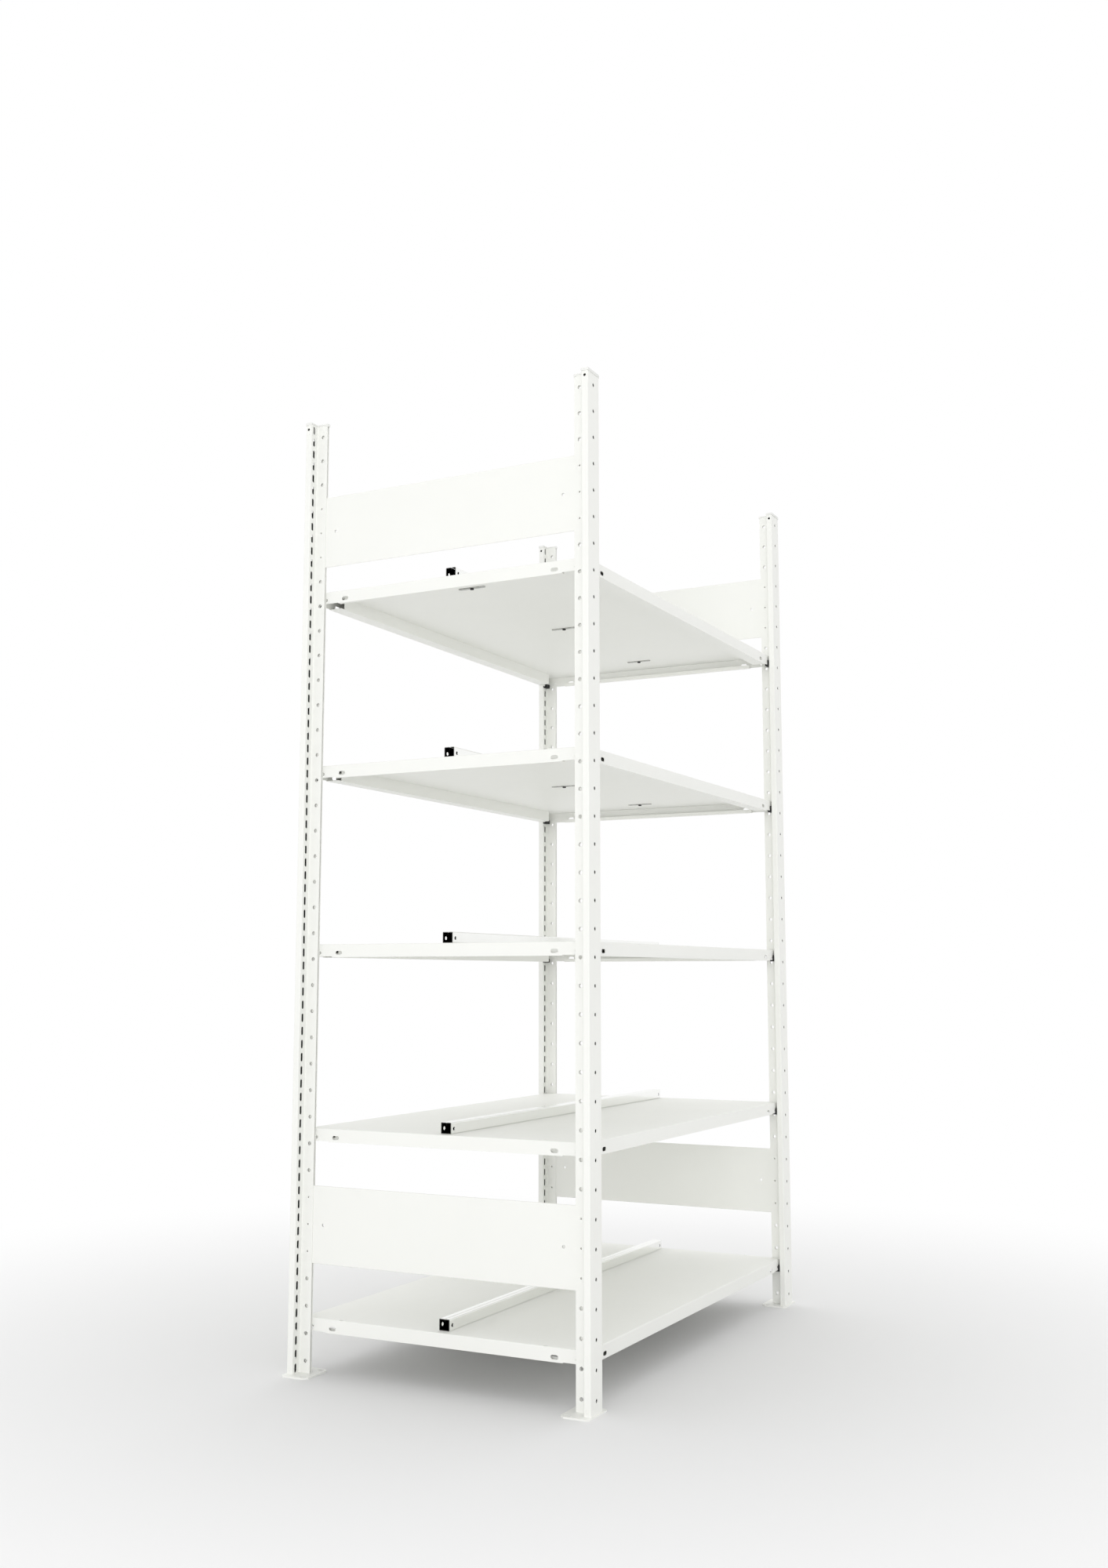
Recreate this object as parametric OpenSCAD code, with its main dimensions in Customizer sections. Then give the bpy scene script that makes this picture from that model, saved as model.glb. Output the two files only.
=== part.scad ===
// Boltless steel shelving unit: two end frames of rolled T posts with panels held in the
// posts' slits, and five pan shelves that stand on clips hooked into the posts' slots.
// Origin on the floor under the centre of the unit, +X along the shelves, +Y to the back, +Z up.

/* [Overall] */
// Distance between the axes of the left and right posts
bay_length = 1004; // [804:1:1304]
// Depth of the unit over the outer faces of its posts
frame_depth = 634.1; // [434.1:1:834.1]
// Height of the posts' upper ends above the floor
post_top = 1850; // [1750:25:2400]

/* [Post section] */
// Thickness of the rolled sheet of a post
post_sheet = 1.35; // [1:0.05:1.6]
// Width of the post's head, the face turned to the aisle
head_width = 47.5; // [46:0.5:60]
// Depth of the head from the outer face to the shoulders
head_depth = 13.5; // [12:0.5:18]
// Outer radius of the head's corners
head_radius = 2.2; // [1.8:0.1:3.5]
// Thickness of the stem over both of its walls
stem_width = 6.2; // [5.6:0.1:8]
// Distance from the outer face to the stem's free edge
stem_reach = 38; // [34:0.5:50]
// Outer radius of the bend between shoulder and stem
neck_radius = 1.5; // [1:0.1:1.8]

/* [Post perforation] */
// Height of the lowest round hole above the floor
first_hole = 25; // [25:1:40]
// Spacing of the round holes along a post
hole_pitch = 50; // [40:1:60]
// Diameter of the holes in the outer face
face_hole = 7; // [5:0.1:9]
// Diameter of the holes through the stem
stem_hole = 7.5; // [6:0.1:9]
// Distance of the stem's holes from the outer face
stem_hole_inset = 27.4; // [25:0.1:29]
// Height of the lowest shoulder slot above the floor
first_slot = 12.5; // [12.5:0.5:14]
// Spacing of the shoulder slots
slot_pitch = 25; // [22:0.5:30]
// Width of a shoulder slot
slot_width = 6.5; // [6:0.1:8]
// Height of a shoulder slot with its round ends
slot_height = 16.4; // [15:0.1:18]
// Distance of a shoulder slot from the post's axis
slot_offset = 14.2; // [13:0.1:15]
// Diameter of the catch holes in the sides of the head
catch_hole = 5.5; // [4:0.1:6]
// Distance of the catch holes from the outer face
catch_inset = 6.5; // [6:0.1:7]
// Distance of the lower catch holes from the post's lower end
catch_rise = 8.5; // [8:0.5:12]
// Distance of the upper catch holes from the post's upper end
catch_drop = 12; // [8:0.5:14]

/* [Foot plates] */
// Thickness of a foot plate
foot_thickness = 3; // [2:0.5:6]
// Width of a foot plate along the shelves
foot_width = 76; // [74:1:100]
// Length of a foot plate across the unit
foot_length = 57; // [54:1:80]
// How far a foot plate stands out past the outer face
foot_overhang = 3; // [1:0.5:6]
// Cut-off of the plate's two outer corners
foot_outer_cut = 4.5; // [2:0.5:8]
// Cut-off of the plate's two inner corners
foot_inner_cut = 9; // [4:0.5:12]
// Width of the anchor slots
anchor_slot_width = 8; // [6:0.5:10]
// Length of the anchor slots
anchor_slot_length = 12.5; // [11:0.5:15]
// Distance of the anchor slots from the post's axis
anchor_offset = 28; // [28:0.5:31]
// Distance of the anchor slots from the outer face
anchor_inset = 42; // [38:0.5:44]
// Height of the foot plate's two tongues inside the head
foot_tongue_height = 15.5; // [14:0.5:17]
// Thickness of the tongues of foot plates and caps
tongue_wall = 1.5; // [1:0.1:2.5]

/* [Post caps] */
// Thickness of the cap's top
cap_top = 1.5; // [1:0.1:3]
// Thickness of the cap's skirt
cap_wall = 1; // [0.8:0.1:2]
// Depth of the skirt on the outer faces
cap_skirt = 3.5; // [2:0.1:4]
// Depth of the skirt over the shoulders
cap_shoulder_skirt = 1; // [0.5:0.1:2]
// Height of the cap's two tongues inside the head
cap_tongue_height = 20.5; // [12:0.5:21]

/* [Frame panels] */
// Height of a frame panel
panel_height = 144; // [130:1:180]
// Sheet of a frame panel, folded flat into a double wall
panel_sheet = 0.8; // [0.6:0.1:1.2]
// Number of hole pitches from the lowest hole to the lower panel's centre
lower_panel_row = 5; // [2:1:12]
// Number of hole pitches from the upper panel's centre to the highest hole
upper_panel_drop = 4; // [2:1:12]
// Distance of a panel's side edges from the outer face of the posts
panel_edge_inset = 19; // [18:0.5:20]
// Diameter of the small holes in a panel
panel_hole = 6; // [3:0.5:10]
// Distance of the small panel holes from the outer face of the posts
panel_hole_inset = 62; // [50:1:80]

/* [Shelves] */
// Thickness of the shelf sheet
shelf_sheet = 1; // [0.8:0.1:1.5]
// Height of a shelf's edge
shelf_height = 25; // [25:0.5:35]
// Outer radius of the shelf's upper bends
shelf_bend = 2; // [1.6:0.1:3]
// Width of the closed box edges along the long sides
box_edge_width = 29; // [24:1:60]
// Distance of a box edge's bottom lip from the shelf's end where it runs on past the web
box_lip_cut = 40; // [30:1:60]
// Distance of the box edges' inner webs from the shelf's ends
box_web_cut = 52; // [45:1:80]
// Width of the inward lip along the short sides
end_lip_width = 9; // [6:0.5:15]
// Height of the up-turn on the short sides' lip
end_upturn = 7.5; // [4:0.5:12]
// Distance of the short sides' lips from the shelf's long sides
end_lip_cut = 50; // [35:1:80]
// How much shorter the flanges are where the lips are cut away
corner_step = 1.4; // [1.2:0.1:1.8]
// Number of slot pitches from the lowest slot to the first shelf
first_shelf_slot = 3; // [3:1:5]
// Number of slot pitches from one shelf to the next
shelf_slot_step = 14; // [12:1:14]

/* [Shelf edge holes] */
// Height of the edge holes over the shelf's underside
edge_hole_height = 8.5; // [7:0.1:10]
// Length of the oval edge slots
edge_slot_length = 15; // [10:0.5:20]
// Height of the oval edge slots
edge_slot_height = 7.5; // [5:0.1:9]
// Distance of the long edges' slots from the shelf's ends
long_slot_inset = 66; // [60:1:80]
// Distance of the short edges' slots from the shelf's sides
short_slot_inset = 66; // [62:1:80]
// Diameter of the round edge holes
edge_hole = 6.5; // [4:0.1:8]
// Distance of the long edges' round holes from the shelf's ends
long_hole_inset = 21.5; // [18:0.5:24]
// Distance of the short edges' round holes from the shelf's sides
short_hole_inset = 21.5; // [18:0.5:30]
// Length of the slots in the top sheet at the short edges
top_slot_length = 10; // [6:0.5:20]
// Width of the slots in the top sheet
top_slot_width = 4.5; // [3:0.1:6]
// Distance of the top slots from the shelf's sides
top_slot_inset = 84.5; // [70:0.5:120]
// Distance of the top slots from the shelf's ends
top_slot_edge = 3.5; // [3:0.1:8]

/* [Shelf clips] */
// Thickness of the clip's sheet
clip_sheet = 3; // [2.5:0.1:3.2]
// Distance from the post's axis to the near edge of a clip
clip_near = 5.5; // [5:0.1:8]
// Distance from the post's axis to the far edge of a clip
clip_far = 24.5; // [22:0.1:30]
// Height of the clip's plate over the shelf's underside
clip_rise = 12; // [10:0.5:16]
// Height of a slot's centre over the underside of the shelf it carries
seat_drop = 9.1; // [8.8:0.1:9.6]
// Height of a clip's tongue that goes through the slot
tongue_height = 9; // [7.5:0.5:9.5]
// How far the tongue's hook hangs behind the shoulder sheet
hook_drop = 5; // [3:0.5:6]
// Thickness of the hook behind the shoulder sheet
hook_thickness = 2; // [1.5:0.1:3]
// Height of the nose that stands behind the shelf's flange
nose_height = 6; // [4:0.5:10]

/* [Centre stop rails] */
// Width of the stop rail
rail_width = 22; // [18:0.5:30]
// Height of the stop rail
rail_height = 21; // [18:0.5:30]
// Thickness of the rail's sheet
rail_sheet = 1.25; // [1:0.05:1.5]
// Outer radius of the rail's corners
rail_radius = 1.9; // [1.6:0.1:2.5]
// Height of the rail's turned-down lip with its bend
rail_lip = 5.5; // [4:0.5:7]
// Distance from the rail's middle to the free face of the lip
rail_lip_offset = 1.8; // [1:0.1:3]
// Gap of the seam beside the lip
rail_seam = 0.5; // [0.4:0.1:1]
// How far the rail's ends are set back from the shelf's ends
rail_setback = 18; // [5:0.5:40]
// Diameter of the cross holes near the rail's ends
rail_hole = 6.7; // [4:0.1:9]
// Distance of the cross holes from the rail's ends
rail_hole_inset = 10; // [8:0.5:20]
// Height of the cross holes over the shelf
rail_hole_height = 9.5; // [8:0.1:12]
// Distance of the outer rail fixings from the rail's ends
fixing_inset = 80.5; // [40:0.5:200]

/* [Rail fixings] */
// Length of the washer plates under the shelf
washer_length = 60; // [40:1:80]
// Width of the washer plates
washer_width = 9; // [8.5:0.5:14]
// Thickness of the washer plates
washer_thickness = 1.5; // [1:0.1:3]
// Shank diameter of the rail screws
screw_shank = 4; // [3:0.1:5]
// Head diameter of the rail screws
screw_head = 7.5; // [7:0.1:8]
// Head height of the rail screws
screw_head_height = 2.4; // [1.5:0.1:4]
// How far the screws reach past the rail's floor
screw_tail = 3; // [1:0.5:6]

/* [Clearances] */
// Clearance between the post and the cap's skirt
cap_clearance = 0.2; // [0.1:0.05:0.4]
// Clearance between the head's inside and the tongues of foot plate and cap
inside_clearance = 0.2; // [0.1:0.05:0.4]
// Clearance round a catch in its hole
catch_clearance = 0.2; // [0.1:0.05:0.4]
// Clearance on each side of a panel in the stem's slit
panel_clearance = 0.1; // [0.05:0.05:0.3]
// Clearance between a shelf's end and the stem
shelf_end_clearance = 0.4; // [0.2:0.1:1]
// Gap between a shelf's side and the shoulder, for the clip
shelf_side_gap = 3.55; // [3.5:0.05:4]
// Clearance round a clip's tongue in its slot
tongue_clearance = 0.3; // [0.1:0.05:0.4]
// Clearance between the hook and the shoulder sheet
hook_clearance = 0.15; // [0.1:0.05:0.4]
// Clearance between the nose and the shelf's flange
nose_clearance = 1.2; // [0.2:0.1:2]
// Clearance round the rail screws in their holes
screw_clearance = 0.2; // [0.1:0.05:0.4]

/* [Hidden] */
// Facets of the round shapes, the overshoot of every cut, and the least step between
// two outlines that must not touch
$fn = 32;
cut = 1;
hair = 0.01;

LEFT = -1;
RIGHT = 1;
FRONT = -1;
BACK = 1;
LOWER = "lower";
UPPER = "upper";
SIDES = [LEFT, RIGHT];
ROWS = [FRONT, BACK];
TIERS = [LOWER, UPPER];
LEVELS = [1, 2, 3, 4, 5];

function side_name(side) = side == LEFT ? "left" : "right";
function row_name(row) = row == FRONT ? "front" : "back";
function corner_name(row, side) = str(row_name(row), "_", side_name(side));

COAT = "#eceee6";
CAP_PLASTIC = "#e6e8e2";
CLIP_BLACK = "#17181a";
ZINC = "#9da09c";

// Post
slit = stem_width - 2 * post_sheet;
slot_end_web = 3;
slot_end_margin = slot_height / 2 + slot_end_web;
hole_count = floor((post_top - first_hole - face_hole) / hole_pitch) + 1;
slot_count = floor((post_top - first_slot - slot_end_margin) / slot_pitch) + 1;
HOLE_HEIGHTS = [for (i = [0:hole_count - 1]) first_hole + i * hole_pitch];
SLOT_HEIGHTS = [for (i = [0:slot_count - 1]) first_slot + i * slot_pitch];
head_inner_radius = head_radius - post_sheet;

// Panels
panel_thickness = slit - 2 * panel_clearance;
panel_length = frame_depth - 2 * panel_edge_inset;
RIVET_ROWS = [-1, 0, 1];

// Shelves, drawn about their own centre with the underside of the lips at height 0
shelf_length = bay_length - stem_width - 2 * shelf_end_clearance;
shelf_depth = frame_depth - 2 * (head_depth + shelf_side_gap);
shelf_under = shelf_height - shelf_sheet;

// Rails
rail_length = shelf_length - 2 * rail_setback;
fixing_offset = rail_length / 2 - fixing_inset;
FIXINGS = [-fixing_offset, 0, fixing_offset];

function panel_centre(tier) =
    tier == LOWER
        ? HOLE_HEIGHTS[lower_panel_row]
        : HOLE_HEIGHTS[hole_count - 1 - upper_panel_drop];
function shelf_slot_height(level) =
    SLOT_HEIGHTS[first_shelf_slot + shelf_slot_step * (level - LEVELS[0])];
function shelf_bottom(level) = shelf_slot_height(level) - seat_drop;

// Places its children, drawn for the front left post, at one of the four posts:
// outer face on the plane Y 0, the unit's inside towards +Y and the shelves towards +X
module at_post(row, side) {
    translate([side * bay_length / 2, row * frame_depth / 2, 0])
        mirror([side == RIGHT ? 1 : 0, 0, 0])
            mirror([0, row == BACK ? 1 : 0, 0])
                children();
}

module on_shelf(level) {
    translate([0, 0, shelf_bottom(level)]) children();
}

// Rectangle about the origin with round corners
module round_rect(width, height, radius) {
    square([width, height - 2 * radius], center = true);
    square([width - 2 * radius, height], center = true);
    for (x = [-1, 1], y = [-1, 1])
        translate([x * (width / 2 - radius), y * (height / 2 - radius)]) circle(radius);
}

// Slot about the origin with round ends, running along X
module slot_shape(length, width) {
    square([length - width, width], center = true);
    for (x = [-1, 1]) translate([x * (length - width) / 2, 0]) circle(width / 2);
}

// What a round bend leaves of a square corner at the origin
module corner_fillet(radius) {
    difference() {
        square(radius);
        translate([radius, radius]) circle(radius);
    }
}

// Section of a post with its hollow filled, grown outwards by a clearance or a wall
module post_outline(grow = 0) {
    translate([0, head_depth / 2])
        round_rect(head_width + 2 * grow, head_depth + 2 * grow, head_radius + grow);
    translate([-stem_width / 2 - grow, head_depth / 2])
        square([stem_width + 2 * grow, stem_reach + grow - head_depth / 2]);
    for (x = [0, 1])
        mirror([x, 0])
            translate([stem_width / 2 + grow, head_depth + grow])
                corner_fillet(neck_radius);
}

// Section of a post: one sheet rolled into a hollow head and an open two-walled stem
module post_section() {
    difference() {
        post_outline();
        translate([0, head_depth / 2])
            round_rect(
                head_width - 2 * post_sheet,
                head_depth - 2 * post_sheet,
                head_inner_radius
            );
        translate([-slit / 2, head_depth / 2]) square([slit, stem_reach]);
        for (x = [0, 1])
            mirror([x, 0])
                translate([slit / 2, head_depth - post_sheet])
                    corner_fillet(neck_radius + post_sheet);
    }
}

module post(row, side) {
    color(COAT) at_post(row, side) difference() {
        translate([0, 0, foot_thickness])
            linear_extrude(post_top - foot_thickness) post_section();
        for (z = HOLE_HEIGHTS) {
            translate([0, -cut, z])
                rotate([-90, 0, 0]) cylinder(d = face_hole, h = head_depth / 2);
            translate([-stem_width, stem_hole_inset, z])
                rotate([0, 90, 0]) cylinder(d = stem_hole, h = 2 * stem_width);
        }
        translate([0, head_depth + cut, 0])
            rotate([90, 0, 0])
                linear_extrude(post_sheet + 2 * cut)
                    for (z = SLOT_HEIGHTS, x = [-1, 1])
                        translate([x * slot_offset, z])
                            rotate(90) slot_shape(slot_height, slot_width);
        for (z = [foot_thickness + catch_rise, post_top - catch_drop])
            translate([-head_width / 2 - cut, catch_inset, z])
                rotate([0, 90, 0]) cylinder(d = catch_hole, h = head_width + 2 * cut);
    }
}

// Two tongues inside the head's sides, each with a catch that clicks into a catch hole
module foot_tongues() {
    face = head_width / 2 - post_sheet - inside_clearance;
    margin = post_sheet + head_inner_radius + inside_clearance;
    for (x = [0, 1])
        mirror([x, 0, 0]) {
            translate([face - tongue_wall, margin, foot_thickness / 2])
                cube([
                    tongue_wall,
                    head_depth - 2 * margin,
                    foot_thickness / 2 + foot_tongue_height
                ]);
            translate([face - tongue_wall / 2, catch_inset, foot_thickness + catch_rise])
                rotate([0, 90, 0])
                    cylinder(
                        d = catch_hole - 2 * catch_clearance,
                        h = tongue_wall / 2 + post_sheet
                    );
        }
}

// Two tongues that grip the head's outer face and its shoulders from inside
module cap_tongues() {
    face = post_sheet + inside_clearance;
    margin = face + head_inner_radius;
    for (y = [face, head_depth - face - tongue_wall])
        translate([-head_width / 2 + margin, y, post_top - cap_tongue_height])
            cube([
                head_width - 2 * margin,
                tongue_wall,
                cap_tongue_height + cap_top / 2
            ]);
}

module foot_outline() {
    half = foot_width / 2;
    inner = foot_length - foot_overhang;
    polygon([
        [-half + foot_outer_cut, -foot_overhang],
        [half - foot_outer_cut, -foot_overhang],
        [half, -foot_overhang + foot_outer_cut],
        [half, inner - foot_inner_cut],
        [half - foot_inner_cut, inner],
        [-half + foot_inner_cut, inner],
        [-half, inner - foot_inner_cut],
        [-half, -foot_overhang + foot_outer_cut],
    ]);
}

module foot_plate(row, side) {
    color(COAT) at_post(row, side) {
        linear_extrude(foot_thickness)
            difference() {
                foot_outline();
                for (x = [-1, 1])
                    translate([x * anchor_offset, anchor_inset])
                        rotate(90) slot_shape(anchor_slot_length, anchor_slot_width);
            }
        foot_tongues();
    }
}

module post_cap(row, side) {
    skirt_grow = cap_clearance + cap_wall;
    color(CAP_PLASTIC) at_post(row, side) {
        difference() {
            translate([0, 0, post_top - cap_skirt])
                linear_extrude(cap_skirt + cap_top) post_outline(skirt_grow);
            translate([0, 0, post_top - cap_skirt - cut])
                linear_extrude(cap_skirt + cut) post_outline(cap_clearance);
            translate([
                -head_width,
                head_depth + cap_clearance / 2,
                post_top - cap_skirt - cut
            ])
                cube([
                    2 * head_width,
                    stem_reach - 2 * head_radius - head_depth,
                    cap_skirt + cut - cap_shoulder_skirt
                ]);
        }
        cap_tongues();
    }
}

// One sheet folded flat, open at the ends that slide into the stems' slits
module frame_panel(tier, side) {
    edge_radius = panel_thickness / 2 - hair;
    color(COAT)
        translate([side * bay_length / 2, 0, panel_centre(tier)])
            difference() {
                translate([0, panel_length / 2, 0])
                    rotate([90, 0, 0])
                        linear_extrude(panel_length)
                            difference() {
                                round_rect(panel_thickness, panel_height, edge_radius);
                                round_rect(
                                    panel_thickness - 2 * panel_sheet,
                                    panel_height - 2 * panel_sheet,
                                    edge_radius - panel_sheet
                                );
                            }
                for (row = ROWS) {
                    translate([0, row * (frame_depth / 2 - panel_hole_inset), 0])
                        rotate([0, 90, 0])
                            cylinder(d = panel_hole, h = stem_width, center = true);
                    for (i = RIVET_ROWS)
                        translate([
                            0,
                            row * (frame_depth / 2 - stem_hole_inset),
                            i * hole_pitch
                        ])
                            rotate([0, 90, 0])
                                cylinder(d = stem_hole, h = stem_width, center = true);
                }
            }
}

// Flush tubular rivets that fill the stem's holes and pin the panel between its walls
module panel_rivets(tier, side) {
    bore = stem_hole / 2;
    color(COAT)
        for (row = ROWS, i = RIVET_ROWS)
            translate([
                side * bay_length / 2,
                row * (frame_depth / 2 - stem_hole_inset),
                panel_centre(tier) + i * hole_pitch
            ])
                rotate([0, 90, 0])
                    difference() {
                        cylinder(d = stem_hole, h = stem_width, center = true);
                        translate([0, 0, -stem_width / 2 - cut])
                            cylinder(d = bore, h = stem_width + cut - post_sheet / 2);
                    }
}

// Clip with a hook through the shoulder slot, a foot under the shelf's flange
// and a nose behind it
module shelf_clip(level) {
    slot_z = shelf_slot_height(level);
    seat_z = shelf_bottom(level) + corner_step;
    foot_z = seat_z - clip_sheet;
    clip_width = clip_far - clip_near;
    tongue_width = slot_width - 2 * tongue_clearance;
    tongue_z = slot_z - slot_height / 2 + tongue_clearance;
    hook_depth = post_sheet + hook_clearance + hook_thickness;
    nose_y = head_depth + shelf_side_gap + shelf_sheet + nose_clearance;
    reach = nose_y + clip_sheet - head_depth;
    translate([clip_near, head_depth, foot_z])
        cube([clip_width, clip_sheet, shelf_bottom(level) + clip_rise - foot_z]);
    translate([clip_near, head_depth, foot_z])
        cube([clip_width, reach, clip_sheet]);
    translate([clip_near, nose_y, foot_z])
        cube([clip_width, clip_sheet, clip_sheet + nose_height]);
    translate([slot_offset, head_depth + clip_sheet / 2, 0])
        rotate([90, 0, 0])
            linear_extrude(clip_sheet / 2 + hook_depth)
                translate([0, tongue_z + tongue_height / 2])
                    rotate(90) slot_shape(tongue_height, tongue_width);
    translate([slot_offset, head_depth - post_sheet - hook_clearance, 0])
        rotate([90, 0, 0])
            linear_extrude(hook_thickness)
                translate([0, tongue_z + (tongue_height - hook_drop) / 2])
                    rotate(90) slot_shape(tongue_height + hook_drop, tongue_width);
}

module shelf_clips(level) {
    color(CLIP_BLACK)
        for (row = ROWS, side = SIDES)
            at_post(row, side) shelf_clip(level);
}

// Block as long and deep as the shelf with round upper edges, inset by a wall
module shelf_block(inset) {
    length = shelf_length - 2 * inset;
    depth = shelf_depth - 2 * inset;
    height = shelf_height - inset;
    radius = shelf_bend - inset;
    intersection() {
        translate([length / 2, 0, 0])
            rotate([0, -90, 0])
                linear_extrude(length)
                    translate([height / 2 - radius, 0])
                        round_rect(height + 2 * radius, depth, radius);
        translate([0, depth / 2, 0])
            rotate([90, 0, 0])
                linear_extrude(depth)
                    translate([0, height / 2 - radius])
                        round_rect(length, height + 2 * radius, radius);
        translate([-length / 2, -depth / 2, -inset]) cube([length, depth, height + inset]);
    }
}

// Closed box edges along both long sides, each the other one turned about: inner web, and
// bottom lip that runs on past the web at one of its ends
module shelf_box_edges() {
    lip_length = shelf_length - box_lip_cut - box_web_cut;
    web_length = shelf_length - 2 * box_web_cut;
    for (turn = [0, 180])
        rotate(turn) {
            translate([box_web_cut - shelf_length / 2, -shelf_depth / 2, 0])
                cube([lip_length, box_edge_width, shelf_sheet]);
            translate([
                -web_length / 2,
                box_edge_width - shelf_depth / 2 - shelf_sheet,
                0
            ])
                cube([web_length, shelf_sheet, shelf_under + shelf_sheet / 2]);
        }
}

// Bottom lip with its up-turn along both short sides
module shelf_end_lips() {
    length = shelf_depth - 2 * end_lip_cut;
    for (side = SIDES)
        mirror([side == RIGHT ? 1 : 0, 0, 0]) {
            translate([-shelf_length / 2, -length / 2, 0])
                cube([end_lip_width, length, shelf_sheet]);
            translate([end_lip_width - shelf_length / 2 - shelf_sheet, -length / 2, 0])
                cube([shelf_sheet, length, end_upturn]);
        }
}

// Oval slots and round holes in the four flanges, as seen along X or Y
module edge_holes(half, slot_inset, hole_inset) {
    for (end = [-1, 1]) {
        translate([end * (half - slot_inset), edge_hole_height])
            slot_shape(edge_slot_length, edge_slot_height);
        translate([end * (half - hole_inset), edge_hole_height])
            circle(d = edge_hole);
    }
}

module shelf(level) {
    color(COAT) on_shelf(level) difference() {
        union() {
            difference() {
                shelf_block(0);
                shelf_block(shelf_sheet);
                for (x = [0, 1], y = [0, 1])
                    mirror([x, 0, 0])
                        mirror([0, y, 0])
                            translate([
                                shelf_length / 2 - box_lip_cut,
                                shelf_depth / 2 - end_lip_cut,
                                -cut
                            ])
                                cube([
                                    box_lip_cut + cut,
                                    end_lip_cut + cut,
                                    corner_step + cut
                                ]);
            }
            shelf_box_edges();
            shelf_end_lips();
        }
        for (row = ROWS)
            translate([0, row * (shelf_depth / 2 - shelf_sheet / 2), 0])
                rotate([90, 0, 0])
                    linear_extrude(2 * shelf_sheet, center = true)
                        edge_holes(shelf_length / 2, long_slot_inset, long_hole_inset);
        for (side = SIDES)
            translate([side * (shelf_length / 2 - shelf_sheet / 2), 0, 0])
                rotate([90, 0, 90])
                    linear_extrude(2 * shelf_sheet, center = true)
                        edge_holes(shelf_depth / 2, short_slot_inset, short_hole_inset);
        for (row = ROWS, side = SIDES)
            translate([
                side * (shelf_length / 2 - top_slot_edge),
                row * (shelf_depth / 2 - top_slot_inset),
                shelf_under - cut
            ])
                linear_extrude(shelf_sheet + 2 * cut)
                    rotate(90) slot_shape(top_slot_length, top_slot_width);
        for (x = FIXINGS)
            translate([x, 0, shelf_under - cut])
                cylinder(d = screw_shank + 2 * screw_clearance, h = shelf_sheet + 2 * cut);
    }
}

// Section of the stop rail: a rolled square tube, closed by a seam on top where one edge
// of the sheet turns down inside
module rail_section() {
    lip_x = -rail_lip_offset;
    difference() {
        union() {
            translate([0, rail_height / 2])
                difference() {
                    round_rect(rail_width, rail_height, rail_radius);
                    round_rect(
                        rail_width - 2 * rail_sheet,
                        rail_height - 2 * rail_sheet,
                        rail_radius - rail_sheet
                    );
                }
            translate([lip_x, rail_height - rail_lip]) square([rail_sheet, rail_lip]);
            translate([lip_x + rail_sheet - hair, rail_height - rail_sheet + hair])
                mirror([0, 1])
                    corner_fillet(rail_sheet + hair);
        }
        translate([lip_x - hair, rail_height + hair])
            mirror([0, 1])
                corner_fillet(2 * rail_sheet + hair);
        translate([lip_x - rail_seam, rail_height / 2]) square([rail_seam, rail_height]);
    }
}

module stop_rail(level) {
    color(COAT) on_shelf(level)
        translate([0, 0, shelf_height])
            difference() {
                translate([-rail_length / 2, 0, 0])
                    rotate([90, 0, 90]) linear_extrude(rail_length) rail_section();
                for (side = SIDES)
                    translate([
                        side * (rail_length / 2 - rail_hole_inset),
                        0,
                        rail_hole_height
                    ])
                        rotate([90, 0, 0])
                            cylinder(d = rail_hole, h = rail_width + 2 * cut, center = true);
                for (x = FIXINGS)
                    translate([x, 0, -cut])
                        cylinder(
                            d = screw_shank + 2 * screw_clearance,
                            h = rail_sheet + 2 * cut
                        );
            }
}

// Plates that spread the pull of the rail screws under the shelf sheet
module rail_washers(level) {
    color(ZINC) on_shelf(level)
        for (x = FIXINGS)
            translate([x, 0, shelf_under - washer_thickness])
                linear_extrude(washer_thickness)
                    difference() {
                        rotate(90) slot_shape(washer_length, washer_width);
                        circle(d = screw_shank + 2 * screw_clearance);
                    }
}

module rail_screws(level) {
    head_z = shelf_under - washer_thickness;
    shank_length = washer_thickness + shelf_sheet + rail_sheet + screw_tail;
    color(CLIP_BLACK) on_shelf(level)
        for (x = FIXINGS)
            translate([x, 0, head_z]) {
                translate([0, 0, -screw_head_height])
                    cylinder(d = screw_head, h = screw_head_height);
                translate([0, 0, -screw_head_height / 2])
                    cylinder(d = screw_shank, h = screw_head_height / 2 + shank_length);
            }
}

for (row = ROWS, side = SIDES) {
    corner = corner_name(row, side);
    post(row, side);
    foot_plate(row, side);
    post_cap(row, side);
}
for (tier = TIERS, side = SIDES) {
    place = str(tier, "_", side_name(side));
    frame_panel(tier, side);
    panel_rivets(tier, side);
}
for (level = LEVELS) {
    shelf_clips(level);
    shelf(level);
    stop_rail(level);
    rail_washers(level);
    rail_screws(level);
}
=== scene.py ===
# Boltless steel shelving unit in off-white powder coat: finishes, floor, light and camera
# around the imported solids, which carry all of its shape.
import math

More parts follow.
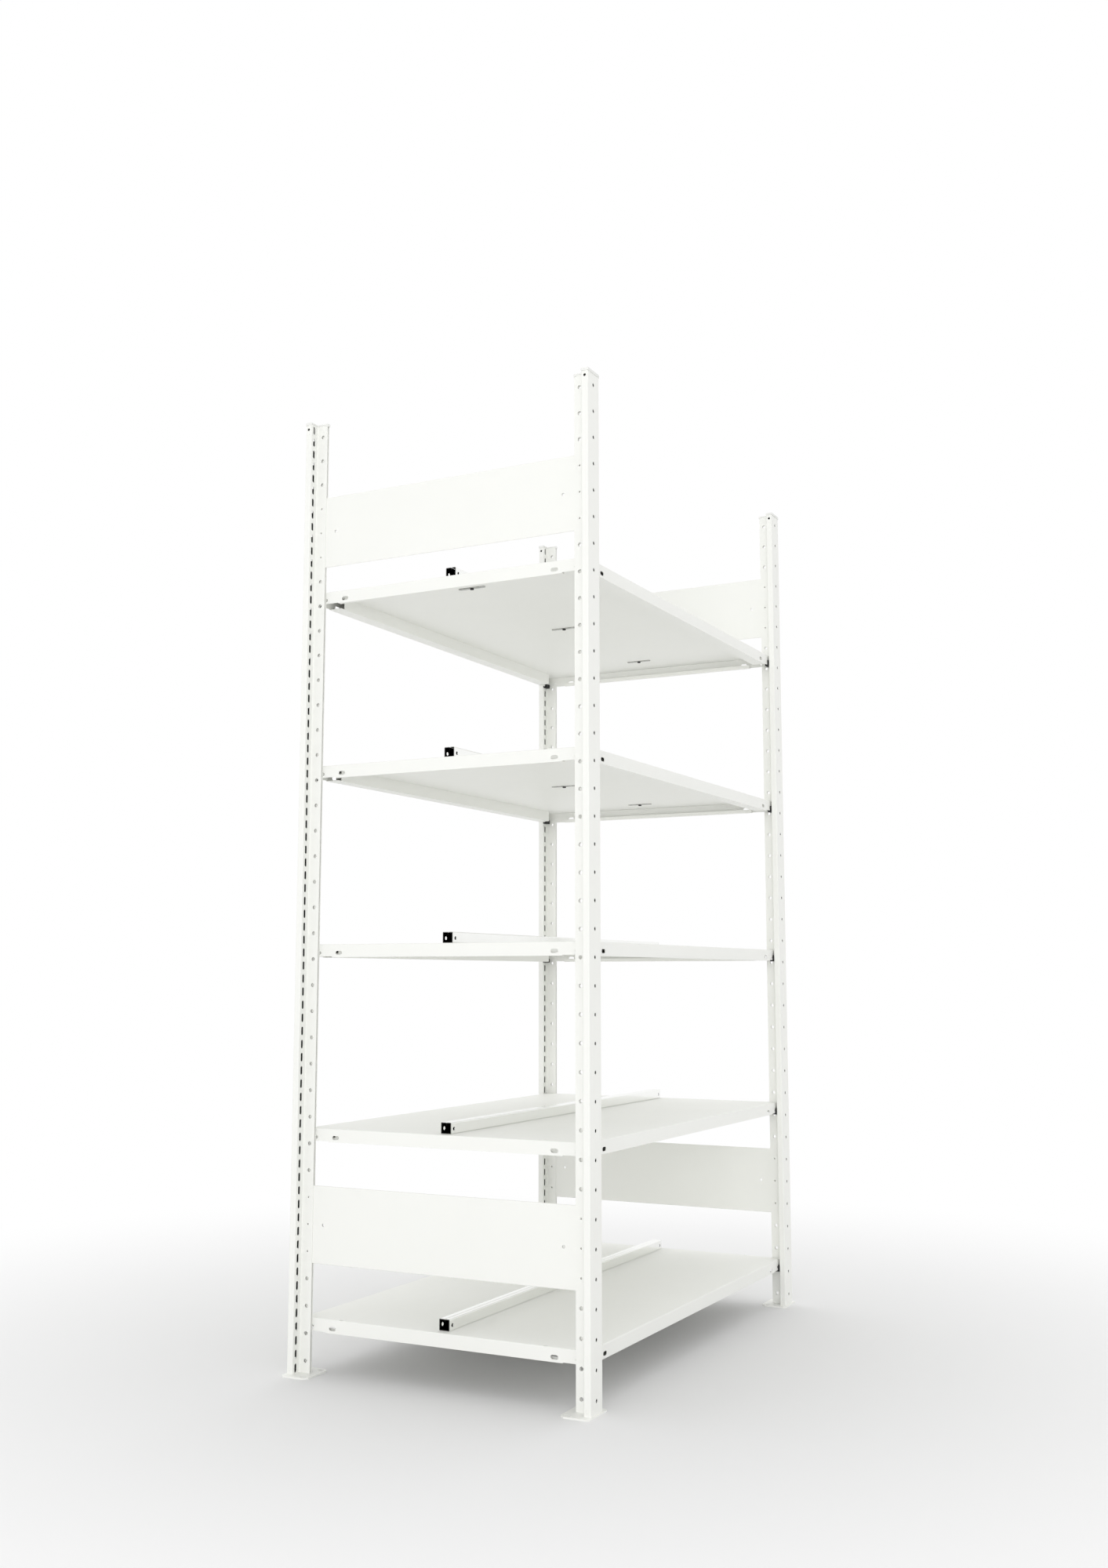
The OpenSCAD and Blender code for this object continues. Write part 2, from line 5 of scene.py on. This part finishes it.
import bpy
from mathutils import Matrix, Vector


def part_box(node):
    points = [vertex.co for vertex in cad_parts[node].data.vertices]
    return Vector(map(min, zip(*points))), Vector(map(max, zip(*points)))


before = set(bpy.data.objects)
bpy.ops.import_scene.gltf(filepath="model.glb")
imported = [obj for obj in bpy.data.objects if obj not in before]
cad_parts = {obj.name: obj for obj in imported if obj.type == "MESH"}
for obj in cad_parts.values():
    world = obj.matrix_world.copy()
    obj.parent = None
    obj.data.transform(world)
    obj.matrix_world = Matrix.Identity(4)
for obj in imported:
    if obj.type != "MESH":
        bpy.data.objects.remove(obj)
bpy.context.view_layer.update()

# Sizes of the posts, rails and caps in metres, as the solids have them
POST_SHEET = 0.00135
HEAD_DEPTH = 0.0135
RAIL_SHEET = 0.00125
CAP_DEPTH = 0.0055
# Share of a sheet's thickness that counts as its outside
INNER_SHARE = 0.9
# Reach of a rail's sawn end into the rail, in metres
SAWN_DEPTH = 0.0003
# Height of the coat's orange peel and of the grain of plastic and dip coat, in metres
PEEL = 0.00001
GRAIN = 0.00004
# A face is side-on to an axis while its normal has less than this along the axis
SIDE_ON = 0.5

# Finishes, as linear colours; most have two tones, which a noise or a spangle blends
COAT = (0.917, 0.922, 0.887, 1.0)
COAT_DARK = (0.887, 0.894, 0.857, 1.0)
# Painted shade, nearly black, for the hollows of the posts and rails
HOLLOW_SHADE = (0.012, 0.012, 0.011, 1.0)
SAWN_STEEL = (0.25, 0.25, 0.24, 1.0)
CAP = (0.86, 0.865, 0.84, 1.0)
CAP_DARK = (0.80, 0.805, 0.78, 1.0)
# Painted shade for the cap's tongues, which hang inside the post's head
CAP_TONGUE_SHADE = (0.22, 0.22, 0.21, 1.0)
BLACK = (0.010, 0.010, 0.011, 1.0)
BLACK_WORN = (0.030, 0.030, 0.031, 1.0)
GALVANISED = (0.945, 0.95, 0.93, 1.0)
GALVANISED_DULL = (0.925, 0.93, 0.91, 1.0)
ZINC = (0.36, 0.365, 0.35, 1.0)
ZINC_BRIGHT = (0.52, 0.52, 0.50, 1.0)

# Camera, solved from the posts' hole rows: its place and the far end of its view in metres,
# and its lens in pixels of the photo's long side
CAMERA_AT = Vector((-2.9536, -1.5065, 0.7402))
CAMERA_HEADING = math.radians(27.409)
CAMERA_TILT = math.radians(7.1646)
VIEW_END = 200.0
LONG_SIDE_PX = 2000
FOCAL_PX = 1960.05
SENSOR = 36.0

# Floor, which fades to white between two distances from the unit's centre
WHITE = (1.0, 1.0, 1.0, 1.0)
FLOOR_RADIUS = 40.0
FLOOR_CORNERS = 96
FLOOR_GREY = (0.81, 0.81, 0.81, 1.0)
FADE = (0.5, 2.2)
# Light of the sky: an even part, and parts that rise towards one side each, where a minus
# sign means the negative side of the axis
SKY_EVEN = 0.48
SKY_SIDES = (("X", 0.7), ("X", -0.07), ("Y", 0.24), ("Z", 0.47))
# Key light, in metres and watts
KEY_AT = (-8.4, -3.2, 0.9)
KEY_AIM = (0.0, 0.0, 0.9)
KEY_SIZE = 4.0
KEY_POWER = 275.0


class Graph:
    """Node tree of a material or the world, with short calls to add and join nodes."""

    def __init__(self, owner, output="ShaderNodeOutputMaterial"):
        owner.use_nodes = True
        self.owner = owner
        self.tree = owner.node_tree
        self.tree.nodes.clear()
        self.output = self.add(output)

    def add(self, kind, **values):
        node = self.tree.nodes.new(kind)
        for name, value in values.items():
            setattr(node, name, value)
        return node

    def join(self, source, target):
        self.tree.links.new(source, target)

    def principled(self, **sockets):
        """The surface's main shader; a socket's name has _ in place of its spaces."""
        shader = self.add("ShaderNodeBsdfPrincipled")
        for name, value in sockets.items():
            shader.inputs[name.replace("_", " ")].default_value = value
        self.join(shader.outputs["BSDF"], self.output.inputs["Surface"])
        return shader

    def coordinates(self, kind="Object"):
        return self.add("ShaderNodeTexCoord").outputs[kind]

    def split(self, vector):
        """The X, Y and Z of a vector."""
        node = self.add("ShaderNodeSeparateXYZ")
        self.join(vector, node.inputs["Vector"])
        return node.outputs

    def looked_at(self):
        """1 where the camera looks, by itself or through a reflection or glass, and 0 for
        light that falls on other things."""
        path = self.add("ShaderNodeLightPath").outputs
        seen = self.math("ADD", path["Is Camera Ray"], path["Is Glossy Ray"], clamp=True)
        return self.math("ADD", seen, path["Is Transmission Ray"], clamp=True)

    def blend(self, factor, first, second):
        """Gives the surface a mix of two shaders."""
        node = self.add("ShaderNodeMixShader")
        for source, socket in zip((factor, first, second), node.inputs):
            self.join(source, socket)
        self.join(node.outputs["Shader"], self.output.inputs["Surface"])

    def noise(self, scale, detail=2.0, roughness=0.5):
        texture = self.add("ShaderNodeTexNoise")
        texture.inputs["Scale"].default_value = scale
        texture.inputs["Detail"].default_value = detail
        texture.inputs["Roughness"].default_value = roughness
        self.join(self.coordinates(), texture.inputs["Vector"])
        return texture.outputs["Fac"]

    def math(self, operation, first, second=None, clamp=False):
        node = self.add("ShaderNodeMath", operation=operation, use_clamp=clamp)
        for socket, value in zip(node.inputs, (first, second)):
            if value is None:
                continue
            if isinstance(value, (int, float)):
                socket.default_value = value
            else:
                self.join(value, socket)
        return node.outputs[0]

    def remap(self, value, source, target, smooth=False):
        """The value, taken from one range to another; both are given as (low, high)."""
        node = self.add("ShaderNodeMapRange")
        if smooth:
            node.interpolation_type = "SMOOTHSTEP"
        self.join(value, node.inputs["Value"])
        sockets = ("From Min", "From Max", "To Min", "To Max")
        for socket, number in zip(sockets, (*source, *target)):
            node.inputs[socket].default_value = number
        return node.outputs["Result"]

    def mix(self, factor, first, second):
        node = self.add("ShaderNodeMix", data_type="RGBA")
        self.join(factor, node.inputs["Factor"])
        colours = [s for s in node.inputs if s.type == "RGBA"]
        for socket, value in zip(colours, (first, second)):
            if isinstance(value, tuple):
                socket.default_value = value
            else:
                self.join(value, socket)
        return [s for s in node.outputs if s.type == "RGBA"][0]

    def bump(self, height, distance):
        node = self.add("ShaderNodeBump")
        node.inputs["Strength"].default_value = 1.0
        node.inputs["Distance"].default_value = distance
        self.join(height, node.inputs["Height"])
        return node.outputs["Normal"]


def powder_coat(name):
    """Satin powder coat: a fine orange peel, and tone and gloss that drift over the sheet."""
    g = Graph(bpy.data.materials.new(name))
    shader = g.principled(Specular_IOR_Level=0.4)
    drift = g.remap(g.noise(scale=5.0, detail=3.0), (0.35, 0.65), (0.0, 0.35))
    g.join(g.mix(drift, COAT, COAT_DARK), shader.inputs["Base Color"])
    gloss = g.remap(g.noise(scale=60.0, detail=3.0), (0.3, 0.7), (0.40, 0.52))
    g.join(gloss, shader.inputs["Roughness"])
    g.join(g.bump(g.noise(scale=650.0), distance=PEEL), shader.inputs["Normal"])
    return g, shader


def galvanised(name):
    """Bright galvanised steel, its gloss a little uneven."""
    g = Graph(bpy.data.materials.new(name))
    shader = g.principled(Metallic=1.0)
    tone = g.noise(scale=90.0, detail=3.0)
    g.join(g.mix(tone, GALVANISED, GALVANISED_DULL), shader.inputs["Base Color"])
    gloss = g.remap(g.noise(scale=35.0, detail=3.0), (0.3, 0.7), (0.16, 0.22))
    g.join(gloss, shader.inputs["Roughness"])
    return g, shader


def hollow_sheet(finish, name, hollow, coated_ends=None, sawn_end=None):
    """A finish on the outside, with painted shade, nearly black, in the sheet's hollow.

    The hollow lists axes with the middle and the half width along each, the same on both
    sides of the unit's centre. coated_ends is the axis that coated cut ends face; sawn_end
    gives bare cut ends in the same way as the hollow.
    """
    g, shader = finish(name)
    place = g.split(g.coordinates())

    def within(axis, middle, half_width):
        off = g.math("SUBTRACT", g.math("ABSOLUTE", place[axis]), middle)
        return g.math("LESS_THAN", g.math("ABSOLUTE", off), half_width)

    # Mask of the hollow, which gets painted shade
    hollow_shade_mask = g.math("MULTIPLY", *[within(*part) for part in hollow])
    if coated_ends:
        facing = g.split(g.add("ShaderNodeNewGeometry").outputs["True Normal"])
        aside = g.math("LESS_THAN", g.math("ABSOLUTE", facing[coated_ends]), SIDE_ON)
        hollow_shade_mask = g.math("MULTIPLY", hollow_shade_mask, aside)
    colour = shader.inputs["Base Color"].links[0].from_socket
    if sawn_end:
        colour = g.mix(within(*sawn_end), colour, SAWN_STEEL)
    # Painted shade, nearly black, in place of the finish inside the hollow
    g.join(g.mix(hollow_shade_mask, colour, HOLLOW_SHADE), shader.inputs["Base Color"])
    return g.owner


def moulded_cap(name, tongue_shade_below):
    """Matt moulded plastic with a fine spark-eroded grain, and painted shade on the tongues
    below a height.
    """
    g = Graph(bpy.data.materials.new(name))
    shader = g.principled(Specular_IOR_Level=0.45)
    drift = g.remap(g.noise(scale=40.0, detail=3.0), (0.35, 0.65), (0.0, 0.4))
    tongue_shade = g.math("LESS_THAN", g.split(g.coordinates())["Z"], tongue_shade_below)
    colour = g.mix(drift, CAP, CAP_DARK)
    # Painted shade on the tongues below the height
    g.join(g.mix(tongue_shade, colour, CAP_TONGUE_SHADE), shader.inputs["Base Color"])
    gloss = g.remap(g.noise(scale=300.0), (0.3, 0.7), (0.5, 0.62))
    g.join(gloss, shader.inputs["Roughness"])
    g.join(g.bump(g.noise(scale=1800.0), distance=GRAIN), shader.inputs["Normal"])
    return g.owner


def black_coat(name):
    """Black dip coat with paler rubs."""
    g = Graph(bpy.data.materials.new(name))
    shader = g.principled(Specular_IOR_Level=0.3)
    patches = g.noise(scale=160.0, detail=4.0, roughness=0.6)
    rubs = g.remap(patches, (0.55, 0.75), (0.0, 0.6))
    g.join(g.mix(rubs, BLACK, BLACK_WORN), shader.inputs["Base Color"])
    gloss = g.remap(g.noise(scale=220.0, detail=3.0), (0.3, 0.7), (0.45, 0.6))
    g.join(gloss, shader.inputs["Roughness"])
    g.join(g.bump(g.noise(scale=900.0), distance=GRAIN), shader.inputs["Normal"])
    return g.owner


def zinc_plate(name):
    """Dull zinc plating with a faint spangle."""
    g = Graph(bpy.data.materials.new(name))
    shader = g.principled(Metallic=0.85)
    spangle = g.add("ShaderNodeTexVoronoi")
    spangle.inputs["Scale"].default_value = 260.0
    g.join(g.coordinates(), spangle.inputs["Vector"])
    tone = g.add("ShaderNodeSeparateColor")
    g.join(spangle.outputs["Color"], tone.inputs[0])
    g.join(g.mix(tone.outputs[0], ZINC, ZINC_BRIGHT), shader.inputs["Base Color"])
    gloss = g.remap(tone.outputs[1], (0.0, 1.0), (0.38, 0.55))
    g.join(gloss, shader.inputs["Roughness"])
    return g.owner


def dress(prefix, material):
    """Gives every node whose name starts with the prefix this material."""
    for name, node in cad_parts.items():
        if not name.startswith(prefix):
            continue
        for slot in node.material_slots:
            slot.material = material


def dress_rails():
    """Each rail has its own material, because the painted shade in its hollow and its sawn
    ends are found by place.
    """
    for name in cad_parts:
        if not name.startswith("stop_rail_"):
            continue
        low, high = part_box(name)
        inset = RAIL_SHEET * INNER_SHARE
        across = ("Y", 0.0, high.y - inset)
        upright = ("Z", (low.z + high.z) / 2, (high.z - low.z) / 2 - inset)
        sawn_end = ("X", high.x, SAWN_DEPTH)
        sheet = hollow_sheet(galvanised, "zinc_" + name, (across, upright), sawn_end=sawn_end)
        dress(name, sheet)


def dress_posts():
    """All four posts share one material, because they are mirror images."""
    low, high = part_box("post_back_right")
    inset = POST_SHEET * INNER_SHARE
    axis_x = (low.x + high.x) / 2
    head = (
        ("X", axis_x, (high.x - low.x) / 2 - inset),
        ("Y", high.y - HEAD_DEPTH / 2, HEAD_DEPTH / 2 - inset),
    )
    # The head's hollow gets painted shade, nearly black
    material = hollow_sheet(powder_coat, "post_coat", head, coated_ends="Z")
    for corner in ("front_left", "front_right", "back_left", "back_right"):
        dress("post_" + corner, material)


def dress_unit():
    coat = powder_coat("powder_coat")[0].owner
    black = black_coat("black_coat")
    for prefix in ("foot_plate_", "frame_panel_", "panel_rivets_", "shelf_"):
        dress(prefix, coat)
    cap_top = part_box("post_cap_front_left")[1].z
    # The cap's tongues inside the head get painted shade
    dress("post_cap_", moulded_cap("cap_plastic", cap_top - CAP_DEPTH))
    dress("shelf_clips_", black)
    dress("rail_screws_", black)
    dress("rail_washers_", zinc_plate("zinc_plate"))
    dress_rails()
    dress_posts()


def make_floor():
    """Pale floor that keeps the unit's shadow and fades to the white background."""
    bpy.ops.mesh.primitive_circle_add(
        vertices=FLOOR_CORNERS, radius=FLOOR_RADIUS, fill_type="NGON", location=(0, 0, 0)
    )
    floor = bpy.context.object
    floor.name = "floor"
    g = Graph(bpy.data.materials.new("floor"))
    paint = g.add("ShaderNodeBsdfDiffuse")
    paint.inputs["Color"].default_value = FLOOR_GREY
    white = g.add("ShaderNodeEmission")
    white.inputs["Color"].default_value = WHITE
    reach = g.add("ShaderNodeVectorMath", operation="LENGTH")
    g.join(g.coordinates(), reach.inputs[0])
    far = g.remap(reach.outputs["Value"], FADE, (0.0, 1.0), smooth=True)
    fade = g.math("MULTIPLY", far, g.looked_at())
    g.blend(fade, paint.outputs["BSDF"], white.outputs["Emission"])
    floor.data.materials.append(g.owner)


def make_sky():
    """Soft light from all round, brighter towards some sides, and plain white where the
    camera or a reflection sees past the floor."""
    world = bpy.data.worlds.new("studio")
    bpy.context.scene.world = world
    g = Graph(world, "ShaderNodeOutputWorld")
    towards = g.split(g.coordinates("Generated"))
    strength = SKY_EVEN
    for axis, gain in SKY_SIDES:
        side = g.math("MAXIMUM", g.math("MULTIPLY", towards[axis], gain), 0.0)
        strength = g.math("ADD", side, strength)
    light = g.add("ShaderNodeBackground")
    light.inputs["Color"].default_value = WHITE
    g.join(strength, light.inputs["Strength"])
    white = g.add("ShaderNodeBackground")
    white.inputs["Color"].default_value = WHITE
    g.blend(g.looked_at(), light.outputs["Background"], white.outputs["Background"])


def make_key():
    """Large soft lamp far off to the left, a little in front of the unit."""
    data = bpy.data.lights.new("key", "AREA")
    data.shape = "SQUARE"
    data.size = KEY_SIZE
    data.energy = KEY_POWER
    lamp = bpy.data.objects.new("key", data)
    lamp.location = KEY_AT
    lamp.rotation_mode = "QUATERNION"
    lamp.rotation_quaternion = (Vector(KEY_AIM) - Vector(KEY_AT)).to_track_quat("-Z", "Y")
    bpy.context.collection.objects.link(lamp)


def make_camera():
    data = bpy.data.cameras.new("camera")
    data.sensor_width = SENSOR
    data.lens = FOCAL_PX / LONG_SIDE_PX * SENSOR
    data.clip_end = VIEW_END
    camera = bpy.data.objects.new("camera", data)
    camera.location = CAMERA_AT
    level = math.cos(CAMERA_TILT)
    forward = Vector((
        level * math.cos(CAMERA_HEADING),
        level * math.sin(CAMERA_HEADING),
        math.sin(CAMERA_TILT),
    ))
    camera.rotation_mode = "QUATERNION"
    camera.rotation_quaternion = forward.to_track_quat("-Z", "Y")
    bpy.context.collection.objects.link(camera)
    bpy.context.scene.camera = camera


make_camera()
make_floor()
make_sky()
make_key()
dress_unit()
bpy.context.scene.view_settings.view_transform = "Standard"
